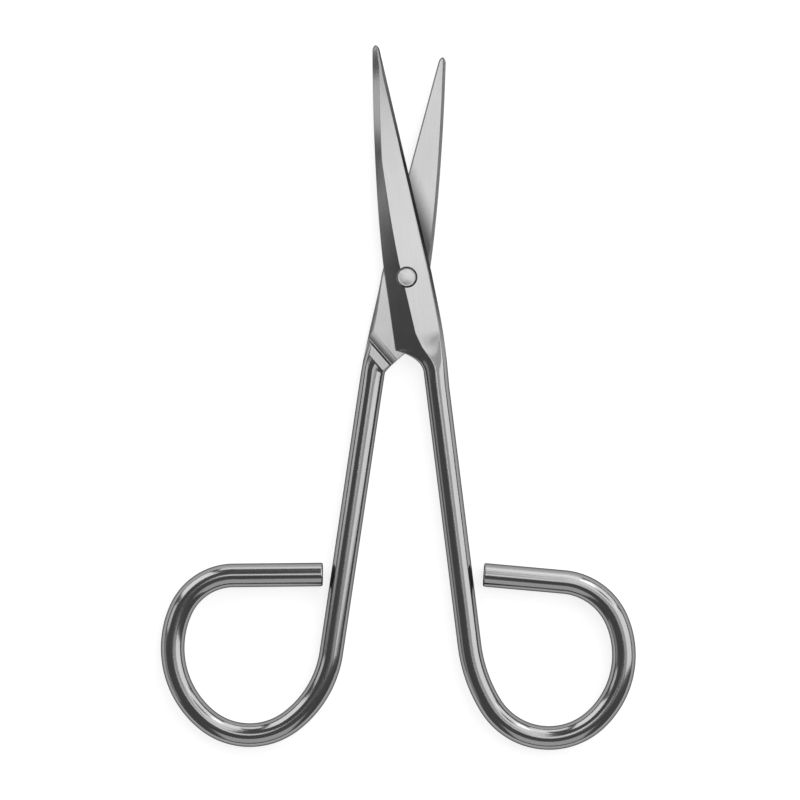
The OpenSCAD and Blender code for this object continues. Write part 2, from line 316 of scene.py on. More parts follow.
@dataclass(frozen=True)
class TurnedSteel:
    """The rivet's steel: lines round its axis, and painted shade darkening the head's rim."""

    name: str
    tone: float
    roughness: float
    axis_rim: float

    def make(self) -> bpy.types.Material:
        """Makes the material."""
        material = bpy.data.materials.new(self.name)
        material.use_nodes = True
        net = Net(material.node_tree)
        object_place = net.node("ShaderNodeTexCoord").outputs["Object"]
        place = net.stretch(Value(net, object_place), (1 / MM, 1 / MM, 1 / MM))
        flat = net.stretch(place, (1.0, 1.0, 0.0))
        radius_node = net.node("ShaderNodeVectorMath", {"operation": "LENGTH"}, {0: flat})
        radius = Value(net, radius_node.outputs["Value"])
        rings = net.node("ShaderNodeCombineXYZ", {}, {"X": radius * 9.0, "Z": 3.0})
        lines = net.noise(Value(net, rings.outputs[0]), 1.0, 3.0, 0.6)
        dents = net.noise(place, 1.7, 2.0)
        # Painted shade: the head's rim and side are darkened into a dark ring.
        rim = radius.smooth(self.axis_rim - 0.42, self.axis_rim - 0.25)
        tone = self.tone + (lines - 0.5) * 0.05 + (dents - 0.5) * 0.04 - rim * self.tone * 0.7
        shader = net.node(
            "ShaderNodeBsdfPrincipled",
            {},
            {
                "Base Color": net.blend(grey(0.0), grey(1.0), tone),
                "Metallic": 1.0,
                "Roughness": (self.roughness + (dents - 0.5) * 0.12 + rim * 0.1).held(),
                "Specular Tint": grey(EDGE_TINT),
                "Normal": net.bump(lines * 0.001 + dents * 0.004, MM, 1.0),
            },
        )
        net.node("ShaderNodeOutputMaterial", {}, {0: Value(net, shader.outputs[0])})
        return material


# Tone, its spread, roughness, its spread, streak width, streak length and scratch depth.
DRAWN_WIRE = Finish("drawn_wire_steel", 0.31, 0.04, 0.15, 0.05, 0.35, 14.0, 0.0004)
STEELS = {
    Zone.WIRE: HalfSteel(DRAWN_WIRE, DRAWN_WIRE),
    Zone.FLAT: HalfSteel(
        DRAWN_WIRE, Finish("ground_flat_steel", 0.37, 0.03, 0.14, 0.05, 0.28, 9.0, 0.0006)
    ),
    Zone.BEVEL: HalfSteel(
        DRAWN_WIRE, Finish("ground_bevel_steel", 0.31, 0.05, 0.2, 0.08, 0.2, 6.0, 0.001)
    ),
    Zone.INNER: HalfSteel(
        DRAWN_WIRE,
        Finish("ground_inner_steel_and_painted_shade", 0.4, 0.03, 0.2, 0.06, 0.3, 9.0, 0.0006),
        # Painted shade of the other blade, darkening the inner face beyond the pivot.
        painted_shade=0.85,
    ),
    Zone.SHOULDER: HalfSteel(
        DRAWN_WIRE,
        Finish("forged_shoulder_steel", 0.33, 0.05, 0.24, 0.1, 0.3, 4.0, 0.002),
        (14.0, 19.0),
    ),
    # Its dark tone paints shade along the edges, the rim of painted shade included; its roughness
    # is the ground edge's own.
    Zone.EDGE: HalfSteel(
        DRAWN_WIRE, Finish("ground_edge_steel_and_painted_shade", 0.2, 0.05, 0.34, 0.1, 0.2, 3.0, 0.002), (4.0, 14.0)
    ),
    Zone.END: HalfSteel(
        DRAWN_WIRE,
        Finish("cut_end_steel", 0.14, 0.05, 0.4, 0.1, 0.25, 0.25, 0.004),
        (500.0, 501.0),
    ),
}


def object_of(name: str, bm: bmesh.types.BMesh) -> bpy.types.Object:
    """Turns a bmesh into an object in the scene and frees it."""
    mesh = bpy.data.meshes.new(name)
    bm.to_mesh(mesh)
    bm.free()
    made = bpy.data.objects.new(name, mesh)
    bpy.context.scene.collection.objects.link(made)
    return made


def turned(profile: Sequence[Point], steps: int) -> bmesh.types.BMesh:
    """Spins a profile once round the Z axis into a closed body.

    Args:
        profile: Radius and height of each point, from the axis and back to the axis.
        steps: How many steps one turn has.

    Returns:
        The body, with outward normals.
    """
    bm = bmesh.new()
    line = [bm.verts.new((r, 0.0, z)) for r, z in profile]
    edges = [bm.edges.new(pair) for pair in zip(line, line[1:])]
    bmesh.ops.spin(
        bm,
        geom=line + edges,
        cent=(0, 0, 0),
        axis=(0, 0, 1),
        angle=2 * math.pi,
        steps=steps,
        use_merge=True,
    )
    bmesh.ops.remove_doubles(bm, verts=bm.verts[:], dist=MERGE_DIST)
    bmesh.ops.recalc_face_normals(bm, faces=bm.faces[:])
    return bm


@dataclass(frozen=True)
class Stock:
    """Sizes that both halves share. Lengths are in millimetres.

    The inner face's outline carries a rim of painted shade, painted_outline_w wide. Beyond the
    shank the wire is thinner by drawn_share, which keeps each half inside its solid's box. The
    shoulder is set back by stop_ease, so that the halves don't cross at the joint's limits.
    """

    wire_r: float = 1.9
    end_round: float = 0.3
    inner_z: float = 0.02
    back_reach: float = 3.45
    edge_reach: float = 4.05
    nose_w: float = 1.0
    nose_t: float = 0.85
    nose_free_share: float = 0.3
    nose_len_share: float = 0.9
    back_t: float = 0.25
    edge_t: float = 0.1
    back_break: float = 0.3
    root_break: float = 0.45
    break_rise_share: float = 0.85
    back_bevel_w: float = 1.05
    root_bevel_w: float = 3.5
    bevel_turn_y: float = 19.0
    edge_bevel_w: float = 0.5
    flat_y: float = 9.0
    round_y: float = 18.0
    round_end: float = 1.0
    crotch_end_y: float = 15.6
    taper_from_y: float = 2.0
    land_turn_y: float = 4.0
    shoulder_y: float = 11.85
    shoulder_slant: float = 39.5
    ledge_h: float = 1.15
    step_run: float = 0.3
    ledge_w: float = 1.3
    ledge_slope: float = 10.0
    top_run: float = 0.3
    shoulder_round: float = 0.07
    relief_depth: float = 0.06
    relief_len: float = 1.3
    ridge_at: float = 80.0
    edge_at: float = 50.0
    back_at: float = 150.0
    round_power: float = 2.0
    square_power: float = 2.3
    seam_len: float = 0.02
    sharp_angle: float = 22.0
    # Width of the painted shade along the inner face's outline.
    painted_outline_w: float = 0.22
    drawn_share: float = 0.003
    stop_ease: float = 0.025


STOCK = Stock()
BACK_STEPS, BEVEL_STEPS, FLAT_STEPS, EDGE_STEPS, LOW_STEPS = 5, 18, 18, 11, 44
TOP_STEPS = BACK_STEPS + BEVEL_STEPS + FLAT_STEPS + EDGE_STEPS


def stops(n: int) -> list[float]:
    """Shares of n steps that lie closer together at both ends."""
    return [(1 - math.cos(math.pi * i / n)) / 2 for i in range(1, n + 1)]


def line_points(a: Point, b: Point, n: int) -> list[Point]:
    """Points of n steps from a, without a itself, to b."""
    return [(mix(a[0], b[0], t), mix(a[1], b[1], t)) for t in stops(n)]


@dataclass
class Half:
    """One half of the scissors: a blade, its forged root, the shank and the finger loop.

    It is built in its own frame, with the back of the blade at -X, the cutting edge at +X, the
    tip at +Y, the outer face at +Z and the inner face at z = 0, and then laid in its place.
    """

    piece: str
    node: str
    body: str
    turned_over: bool
    lean: float
    blade_len: float
    tip_reach: float
    crotch_y: float
    crotch_power: float
    root_swell: float
    shank_x: float
    shank_lean: float
    shank_len: float
    bends: tuple[Point, ...]
    tail_len: float
    bore: tuple[Point, ...]

    def place(self) -> Matrix:
        """Where the half lies, from its own frame in millimetres to the scene in metres."""
        turn = Matrix.Rotation(math.pi, 4, "Y") if self.turned_over else Matrix.Identity(4)
        lean = Matrix.Rotation(math.radians(self.lean), 4, "Z")
        lift = Matrix.Translation((0, 0, STOCK.wire_r))
        return Matrix.Scale(MM, 4) @ lift @ turn @ lean

    def wire_x(self, y: float) -> float:
        """Centre line of the root's wire at a level."""
        return self.shank_x + (y + STOCK.round_y) * math.tan(math.radians(self.shank_lean))

    def taper(self, y: float) -> float:
        """How far along the tapered blade a level lies."""
        return max(0.0, y - STOCK.taper_from_y) / (self.blade_len - STOCK.taper_from_y)

    def plain_sides(self, y: float) -> Point:
        """Back and cutting side at a level, before the nose is rounded.

        Args:
            y: The level.

        Returns:
            X of the back and X of the cutting side.
        """
        s = STOCK
        if y < -self.crotch_y:
            t = share(-s.crotch_end_y, -self.crotch_y, y) ** self.crotch_power
            back = mix(self.wire_x(y) - s.wire_r, -s.back_reach, t)
        else:
            back = mix(-s.back_reach, self.tip_reach - s.nose_w, self.taper(y) ** 1.5)
        if y > 0:
            edge = mix(s.edge_reach, self.tip_reach, y / self.blade_len)
        else:
            t = share(0, -s.round_y, y)
            edge = mix(s.edge_reach, self.wire_x(y) + s.wire_r, ease(t))
            edge += self.root_swell * math.sin(math.pi * t)
        return back, edge

    def nose_share(self, y: float) -> float:
        """How much of the width is left where the tip is rounded."""
        nose = STOCK.nose_w * STOCK.nose_len_share
        t = share(self.blade_len - nose, self.blade_len, y)
        return math.sqrt(1 - t * t)

    def sides(self, y: float) -> Point:
        """Back and cutting side at a level, with the rounded nose."""
        back, edge = self.plain_sides(y)
        middle = self.tip_reach - STOCK.nose_w / 2
        n = self.nose_share(y)
        return mix(middle, back, n), mix(middle, edge, n)

    def flat_z(self, y: float) -> float:
        """Height of the outer flat above the inner plane."""
        return mix(STOCK.wire_r, STOCK.nose_t, self.taper(y) ** 1.3)

    def ridge_x(self, y: float) -> float:
        """Where the back bevel meets the outer flat."""
        s = STOCK
        if y > -s.flat_y:
            back, edge = self.sides(y)
            plain_back, plain_edge = self.plain_sides(y)
            w = mix(s.root_bevel_w, s.back_bevel_w, share(-s.flat_y, s.bevel_turn_y, y))
            return mix(back, edge, min(w / (plain_edge - plain_back), 0.6))
        t = share(-s.flat_y, -s.round_y, y) ** 1.1
        wire_ridge = self.wire_x(y) + s.wire_r * math.cos(math.radians(s.ridge_at))
        return mix(s.root_bevel_w - s.back_reach, wire_ridge, t)

    def breaks(self, y: float) -> Point:
        """Breaks along the inner corners at a level: the back's and the cutting side's."""
        s = STOCK
        fade = ease(share(s.round_end - s.round_y, -s.shoulder_y, y))
        back = s.back_break * share(s.nose_free_share, 1, self.nose_share(y))
        return back * fade, s.root_break * ease(share(0, -s.flat_y, y)) * fade

    def ground_top(self, y: float) -> list[Point]:
        """The ground section's upper outline, from the back round to the cutting edge."""
        s = STOCK
        back, edge = self.sides(y)
        ridge, top = self.ridge_x(y), self.flat_z(y)
        flat_end = mix(edge, ridge, min(s.edge_bevel_w / (edge - ridge), 0.5))
        land = ease(share(s.land_turn_y, -s.round_y / 2, y))
        edge_z = min(mix(s.edge_t, s.wire_r / 2, land) + s.inner_z, top)
        back_break, edge_break = self.breaks(y)
        low = (back, s.break_rise_share * back_break + 2 * s.inner_z)
        high = (back, low[1] + s.back_t)
        points = [(back + back_break, 0.0), low]
        points += line_points(low, high, BACK_STEPS - 1)
        points += line_points(high, (ridge, top), BEVEL_STEPS)
        points += line_points((ridge, top), (flat_end, top), FLAT_STEPS)
        points += line_points((flat_end, top), (edge, edge_z), EDGE_STEPS - 2)
        points += [
            (edge, s.break_rise_share * edge_break + 2 * s.inner_z),
            (edge - edge_break, 0.0),
        ]
        for corner in (BACK_STEPS, BACK_STEPS + BEVEL_STEPS, BACK_STEPS + BEVEL_STEPS + FLAT_STEPS):
            for _ in range(2):
                soft = {
                    i: tuple((p + 2 * q + r) / 4 for p, q, r in zip(*points[i - 1 : i + 2]))
                    for i in range(corner - 2, corner + 3)
                }
                for i, point in soft.items():
                    points[i] = point
        return points

    @staticmethod
    def round_angles() -> list[float]:
        """Angles round the plain wire that the section's points grow out of, in degrees."""
        s = STOCK
        angles = [180.0]
        for a, b, n in (
            (180.0, s.back_at, BACK_STEPS),
            (s.back_at, s.ridge_at, BEVEL_STEPS),
            (s.ridge_at, s.edge_at, FLAT_STEPS),
            (s.edge_at, 0.0, EDGE_STEPS),
        ):
            angles += [mix(a, b, i / n) for i in range(1, n + 1)]
        return angles

    def section(self, y: float) -> list[Vector]:
        """One closed section of the forged root or the blade.

        Args:
            y: The level.

        Returns:
            Its points, from the back over the outer side to the edge and back underneath.
        """
        s = STOCK
        back, edge = self.sides(y)
        made = ease(share(s.round_end - s.round_y, -s.flat_y, y))
        points = []
        for angle, ground in zip(self.round_angles(), self.ground_top(y)):
            a = math.radians(angle)
            oval = (mix(back, edge, 0.5 + math.cos(a) / 2), s.wire_r * math.sin(a))
            points.append(Vector((mix(oval[0], ground[0], made), y, mix(oval[1], ground[1], made))))
        shoulder_top = -s.shoulder_y - s.step_run - s.ledge_w - s.top_run
        power = mix(s.round_power, s.square_power, ease(share(-s.round_y, shoulder_top, y)))
        back_break, edge_break = self.breaks(y)
        back, edge = back + made * back_break, edge - made * edge_break
        for i in range(1, LOW_STEPS):
            a = math.pi * i / LOW_STEPS
            c, d = math.cos(a), math.sin(a)
            x = mix(back, edge, 0.5 + math.copysign(abs(c) ** (2 / power), c) / 2)
            points.append(Vector((x, y, -s.wire_r * abs(d) ** (2 / power))))
        return points

    def levels(self) -> list[float]:
        """Levels of the sections, from the rounded nose down to the plain wire."""
        s = STOCK
        nose = s.nose_w * s.nose_len_share
        turns = [self.blade_len - nose * (1 - math.sin(math.radians(a))) for a in range(0, 84, 6)]
        turns += [self.blade_len - nose * (1 - math.sin(math.radians(86)))]
        spans = (
            (self.blade_len - nose, s.bevel_turn_y, 40),
            (s.bevel_turn_y, s.taper_from_y, 36),
            (s.taper_from_y, -self.crotch_y, 60),
            (-self.crotch_y, -s.round_y, 60),
        )
        run = [mix(a, b, i / n) for a, b, n in spans for i in range(n)]
        return turns[:0:-1] + run

    def skin(self) -> bmesh.types.BMesh:
        """Blade, root, shank and loop as one closed body, before anything is ground off inside."""
        s = STOCK
        bm = bmesh.new()
        zone = bm.faces.layers.int.new("zone")
        count = TOP_STEPS + LOW_STEPS
        ring = bmesh.ops.create_circle(bm, cap_ends=False, segments=count, radius=1.0)["verts"]
        zones = [Zone.BEVEL] * (BACK_STEPS + BEVEL_STEPS) + [Zone.FLAT] * FLAT_STEPS
        zones += [Zone.EDGE] * EDGE_STEPS + [Zone.INNER] * LOW_STEPS
        levels = self.levels()
        for vert, point in zip(ring, self.section(levels[0])):
            vert.co = point
        rim = [bm.edges.get(pair) for pair in zip(ring, ring[1:] + ring[:1])]
        bmesh.ops.contextual_create(bm, geom=rim)
        for y in levels[1:]:
            ring, rim = self.grown(bm, ring, rim, zones, zone)
            for vert, point in zip(ring, self.section(y)):
                vert.co = point
        ring, rim = self.grown(bm, ring, rim, [Zone.WIRE] * count, zone)
        centre = self.wire_x(-s.round_y)
        low = [-180.0 * i / LOW_STEPS for i in range(1, LOW_STEPS)]
        for vert, angle in zip(ring, self.round_angles() + low):
            a = math.radians(angle)
            vert.co = (
                centre + s.wire_r * math.cos(a),
                -s.round_y - s.seam_len,
                s.wire_r * math.sin(a),
            )
        self.run_wire(bm, rim)
        bmesh.ops.recalc_face_normals(bm, faces=bm.faces[:])
        return bm

    @staticmethod
    def grown(
        bm: bmesh.types.BMesh,
        ring: list[bmesh.types.BMVert],
        rim: list[bmesh.types.BMEdge],
        zones: list[Zone],
        layer: bmesh.types.BMLayerItem,
    ) -> tuple[list[bmesh.types.BMVert], list[bmesh.types.BMEdge]]:
        """Extrudes a ring by one step and marks each new face with its zone.

        Args:
            bm: The body that is growing.
            ring: The last ring's vertices, in order.
            rim: Its edges, in order.
            zones: The zone of the face on each edge.
            layer: The layer that keeps the zones.

        Returns:
            Vertices and edges of the new ring, in the same order.
        """
        made = bmesh.ops.extrude_edge_only(bm, edges=rim)["geom"]
        fresh = {v for v in made if isinstance(v, bmesh.types.BMVert)}
        after = [
            next(e.other_vert(v) for e in v.link_edges if e.other_vert(v) in fresh) for v in ring
        ]
        edges = [bm.edges.get(pair) for pair in zip(after, after[1:] + after[:1])]
        for edge, which in zip(edges, zones):
            edge.link_faces[0][layer] = which.value
        return after, edges

    def run_wire(self, bm: bmesh.types.BMesh, rim: list[bmesh.types.BMEdge]) -> None:
        """Runs the wire on from the root: the shank, the four bends and the cut end.

        Args:
            bm: The body that is growing.
            rim: The open ring at the root's lower end.
        """
        s = STOCK
        heading = math.radians(-90 - self.shank_lean)
        at = Vector((self.shank_x, -s.round_y, 0))
        edges = self.straight(bm, rim, heading, self.shank_len)
        at += self.shank_len * Vector((math.cos(heading), math.sin(heading), 0))
        bmesh.ops.scale(
            bm,
            verts=list({v for e in edges for v in e.verts}),
            vec=(1 - s.drawn_share,) * 3,
            space=Matrix.Translation(-at),
        )
        for radius, turn in self.bends:
            centre = at + radius * Vector((-math.sin(heading), math.cos(heading), 0))
            verts = list({v for e in edges for v in e.verts})
            last = bmesh.ops.spin(
                bm,
                geom=verts + edges,
                cent=centre,
                axis=(0, 0, 1),
                angle=math.radians(turn),
                steps=max(6, round(turn / 2.4)),
            )["geom_last"]
            edges = [e for e in last if isinstance(e, bmesh.types.BMEdge)]
            heading += math.radians(turn)
            at = centre + radius * Vector((math.sin(heading), -math.cos(heading), 0))
        edges = self.straight(bm, edges, heading, self.tail_len)
        layer = bm.faces.layers.int["zone"]
        made = bmesh.ops.contextual_create(bm, geom=edges)["faces"]
        for face in made:
            face[layer] = Zone.END.value
        bmesh.ops.bevel(
            bm,
            geom=edges,
            offset=s.end_round,
            offset_type="OFFSET",
            segments=4,
            profile=0.5,
            affect="EDGES",
            material=-1,
            clamp_overlap=False,
        )

    @staticmethod
    def straight(
        bm: bmesh.types.BMesh, rim: list[bmesh.types.BMEdge], heading: float, length: float
    ) -> list[bmesh.types.BMEdge]:
        """Extrudes a ring of edges straight on and returns the new ring's edges."""
        made = bmesh.ops.extrude_edge_only(bm, edges=rim)["geom"]
        verts = [v for v in made if isinstance(v, bmesh.types.BMVert)]
        step = length * Vector((math.cos(heading), math.sin(heading), 0))
        bmesh.ops.translate(bm, verts=verts, vec=step)
        fresh = set(verts)
        edges = [e for e in made if isinstance(e, bmesh.types.BMEdge)]
        return [e for e in edges if e.verts[0] in fresh and e.verts[1] in fresh]

    def inner_cutter(self) -> bmesh.types.BMesh:
        """What is forged and ground off the inner side: the face, two steps and their ledge."""
        s = STOCK
        length, depth = 80.0, 8.0
        ledge = -s.ledge_h
        far = ledge - s.ledge_w * math.tan(math.radians(s.ledge_slope))
        top_slope = (s.wire_r + far) / s.top_run
        outline = [(length, -depth), (length, s.inner_z)]
        outline += [
            (s.relief_len * (1 - i / 10), s.inner_z + s.relief_depth * (i / 10) ** 2)
            for i in range(11)
        ]
        outline += [(-s.step_run, ledge), (-s.step_run - s.ledge_w, far)]
        outline += [(outline[-1][0] - (depth + far) / top_slope, -depth)]
        bm = bmesh.new()
        zone = bm.faces.layers.int.new("zone")
        corners = [bm.verts.new((-length, v, z)) for v, z in outline]
        face = bm.faces.new(corners)
        made = bmesh.ops.extrude_face_region(bm, geom=[face])["geom"]
        verts = [v for v in made if isinstance(v, bmesh.types.BMVert)]
        bmesh.ops.translate(bm, verts=verts, vec=(2 * length, 0, 0))
        folds = [
            e
            for e in bm.edges
            if abs(e.verts[0].co.x - e.verts[1].co.x) > length
            and e.verts[0].co.y < s.relief_len * 0.05
            and e.verts[0].co.z > -s.wire_r
        ]
        bmesh.ops.bevel(
            bm,
            geom=folds,
            offset=s.shoulder_round,
            offset_type="OFFSET",
            segments=4,
            profile=0.5,
            affect="EDGES",
            material=-1,
        )
        bmesh.ops.recalc_face_normals(bm, faces=bm.faces[:])
        for f in bm.faces:
            f[zone] = Zone.SHOULDER.value if f.calc_center_median().y < 0 else Zone.INNER.value
        turn = Matrix.Rotation(math.radians(s.shoulder_slant), 4, "Z")
        level = -s.shoulder_y - s.stop_ease
        at = Matrix.Translation((self.wire_x(level), level, 0))
        bmesh.ops.transform(bm, matrix=at @ turn, verts=bm.verts[:])
        return bm

    def unrolled(self, at: Vector) -> Vector:
        """A point's place on the straightened wire.

        Args:
            at: The point in the half's own frame.

        Returns:
            Across, up and along the wire, all in millimetres.
        """
        s = STOCK
        if at.y > -s.round_y:
            return Vector((at.x - self.wire_x(at.y), at.z, -at.y))
        heading = math.radians(-90 - self.shank_lean)
        start = Vector((self.shank_x, -s.round_y, 0))
        run = s.round_y
        best: tuple[float, Vector] | None = None
        parts: list[Point] = [(0.0, self.shank_len)]
        parts += [(radius, math.radians(turn)) for radius, turn in self.bends]
        parts += [(0.0, self.tail_len)]
        for radius, amount in parts:
            ahead = Vector((math.cos(heading), math.sin(heading), 0))
            left = Vector((-ahead.y, ahead.x, 0))
            if radius == 0:
                way = max(0.0, min(amount, (at - start).dot(ahead)))
                near, out, length = start + way * ahead, left, way
                end, turned_by, whole = start + amount * ahead, 0.0, amount
            else:
                centre = start + radius * left
                angle = math.atan2((at - centre).y, (at - centre).x) - heading + math.pi / 2
                angle = (angle + math.pi) % (2 * math.pi) - math.pi
                angle = max(0.0, min(amount, angle))
                spoke = Vector((math.sin(heading + angle), -math.cos(heading + angle), 0))
                near, out, length = centre + radius * spoke, -spoke, radius * angle
                turned_by, whole = amount, radius * amount
                last = heading + amount
                end = centre + radius * Vector((math.sin(last), -math.cos(last), 0))
            gap = Vector((at.x - near.x, at.y - near.y, 0)).length
            if best is None or gap < best[0] - 1e-4:
                best = (gap, Vector(((at - near).dot(-out), at.z, run + length)))
            run += whole
            heading += turned_by
            start = end
        return best[1]

    def build(self, steels: dict[Zone, bpy.types.Material]) -> bpy.types.Object:
        """Builds the half, lays it in its place and lets it stand for its node.

        Args:
            steels: The material of each zone.

        Returns:
            The finished piece.
        """
        body = object_of(self.piece, self.skin())
        cutters = [
            object_of("inner_cutter", self.inner_cutter()),
            object_of("bore_cutter", turned(self.bore, 96)),
        ]
        for cutter in cutters:
            trim = body.modifiers.new(cutter.name, "BOOLEAN")
            trim.operation = "DIFFERENCE"
            trim.solver = "EXACT"
            trim.object = cutter
        cut = bpy.data.meshes.new_from_object(
            body.evaluated_get(bpy.context.evaluated_depsgraph_get())
        )
        body.modifiers.clear()
        body.data = cut
        for cutter in cutters:
            bpy.data.objects.remove(cutter)
        self.dress(body, steels)
        return body

    def dress(self, body: bpy.types.Object, steels: dict[Zone, bpy.types.Material]) -> None:
        """Gives the cut body its zones' materials, its drawn direction and its place.

        Args:
            body: The cut body, still in the half's own frame.
            steels: The material of each zone.
        """
        mesh = body.data
        bm = bmesh.new()
        bm.from_mesh(mesh)
        bmesh.ops.remove_doubles(bm, verts=bm.verts[:], dist=MERGE_DIST)
        bmesh.ops.dissolve_degenerate(bm, edges=bm.edges[:], dist=MERGE_DIST)
        # Gives the inner face's outline a rim of painted shade.
        self.mark_painted_outline(bm)
        bm.to_mesh(mesh)
        bm.free()
        mesh.materials.clear()
        for zone in Zone:
            mesh.materials.append(steels[zone])
        marks = mesh.attributes["zone"].data
        for polygon in mesh.polygons:
            polygon.material_index = marks[polygon.index].value
        drawn = mesh.attributes.new("drawn", "FLOAT_VECTOR", "POINT")
        own = mesh.attributes.new("own_place", "FLOAT_VECTOR", "POINT")
        for vertex in mesh.vertices:
            own.data[vertex.index].vector = vertex.co
            drawn.data[vertex.index].vector = self.unrolled(vertex.co)
        mesh.shade_smooth()
        mesh.set_sharp_from_angle(angle=math.radians(STOCK.sharp_angle))
        mesh.transform(self.place())
        even = body.modifiers.new("even_normals", "WEIGHTED_NORMAL")
        even.mode = "FACE_AREA"
        even.keep_sharp = True
        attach(body, self.body)
        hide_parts(self.node)

    @staticmethod
    def mark_painted_outline(bm: bmesh.types.BMesh) -> None:
        """Sets a narrow rim off from the flat inner face and gives it the edge zone's dark tone
        where it meets the skin: painted shade along the outline.

        Args:
            bm: The cut body, still in the half's own frame.
        """
        zone_of = bm.faces.layers.int["zone"]
        bm.normal_update()
        flat = [f for f in bm.faces if f[zone_of] == Zone.INNER.value and f.normal.z < -0.9999]
        rim = bmesh.ops.inset_region(
            bm, faces=flat, thickness=STOCK.painted_outline_w, use_even_offset=True, use_boundary=True
        )
        painted_outline_faces = set(rim["faces"])
        ground = (Zone.INNER.value, Zone.SHOULDER.value)
        for f in painted_outline_faces:
            beside = {g for e in f.edges for g in e.link_faces} - painted_outline_faces
            # Where the rim meets the skin it takes the edge zone's dark tone: painted shade.
            if any(g[zone_of] not in ground for g in beside):
                f[zone_of] = Zone.EDGE.value


@dataclass
class Rivet:
    """The rivet: a tail closed flush in the rear half, the pin and the low domed head."""

    piece: str = "rivet_head_and_pin"
    node: str = "rivet"
    body: str = "rear"
    pin_r: float = 1.05
    tail_r: float = 1.55
    tail_h: float = 0.6
    tail_round: float = 0.05
    head_z: float = 3.82
    head_r: float = 1.725
    head_h: float = 0.42
    rim_w: float = 0.3
    rim_round: float = 0.05
    crown_rise: float = 0.07

    def profile(self) -> list[Point]:
        """Half of the rivet's outline, from the middle of the tail up to the crown."""
        slant = (self.tail_r - self.pin_r) / self.tail_h
        points = [(0.0, 0.0), (self.tail_r - 2 * self.tail_round, 0.0)]
        points += [
            (self.tail_r - self.tail_round * 1.2, self.tail_round * 0.25),
            (self.tail_r - self.tail_round * slant, self.tail_round),
            (self.pin_r, self.tail_h),
            (self.pin_r, self.head_z),
            (self.head_r - self.rim_round, self.head_z),
            (self.head_r - self.rim_w * 0.1, self.head_z + self.head_h * 0.1),
        ]
        crown_r = (self.head_r**2 + self.crown_rise**2) / (2 * self.crown_rise)
        crown_z = self.head_z + self.head_h - crown_r
        edge = self.head_r - self.rim_w * (1 - self.crown_rise / self.head_h)
        steep = math.radians(55)
        centre = (edge - self.rim_round * 1.2, crown_z + crown_r - self.crown_rise)
        for i in range(5):
            t = math.radians(90) - steep * (1 - i / 4)
            points.append(
                (centre[0] + self.rim_round * math.cos(t), centre[1] + self.rim_round * math.sin(t))
            )
        last = points[-1][0]
        for i in range(1, 15):
            r = last * (1 - i / 14)
            points.append((r, crown_z + math.sqrt(crown_r**2 - r * r)))
        return points

    def build(self, steel: bpy.types.Material) -> bpy.types.Object:
        """Builds the rivet in its place and lets it stand for its node."""
        bm = turned(self.profile(), 128)
        bmesh.ops.transform(bm, matrix=Matrix.Scale(MM, 4), verts=bm.verts[:])
        made = object_of(self.piece, bm)
        made.data.materials.append(steel)
        made.data.shade_smooth()
        made.data.set_sharp_from_angle(angle=math.radians(35))
        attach(made, self.body)
        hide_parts(self.node)
        return made


@dataclass(frozen=True)
class Softbox:
    """One soft lamp. Sizes and places are in metres, and its light is as bright as `glow`."""

    name: str
    place: tuple[float, float, float]
    aim: tuple[float, float, float]
    width: float
    height: float
    glow: float

    def build(self) -> bpy.types.Object:
        """Hangs the lamp and turns it to what it lights."""
        lamp = bpy.data.lights.new(self.name, "AREA")
        lamp.shape = "RECTANGLE"
        lamp.size, lamp.size_y = self.width, self.height
        lamp.energy = self.glow * math.pi * self.width * self.height
        made = bpy.data.objects.new(self.name, lamp)
        bpy.context.scene.collection.objects.link(made)
        made.location = self.place
        towards = Vector(self.aim) - Vector(self.place)
        made.rotation_euler = towards.to_track_quat("-Z", "Y").to_euler()
        made.visible_camera = False
        return made


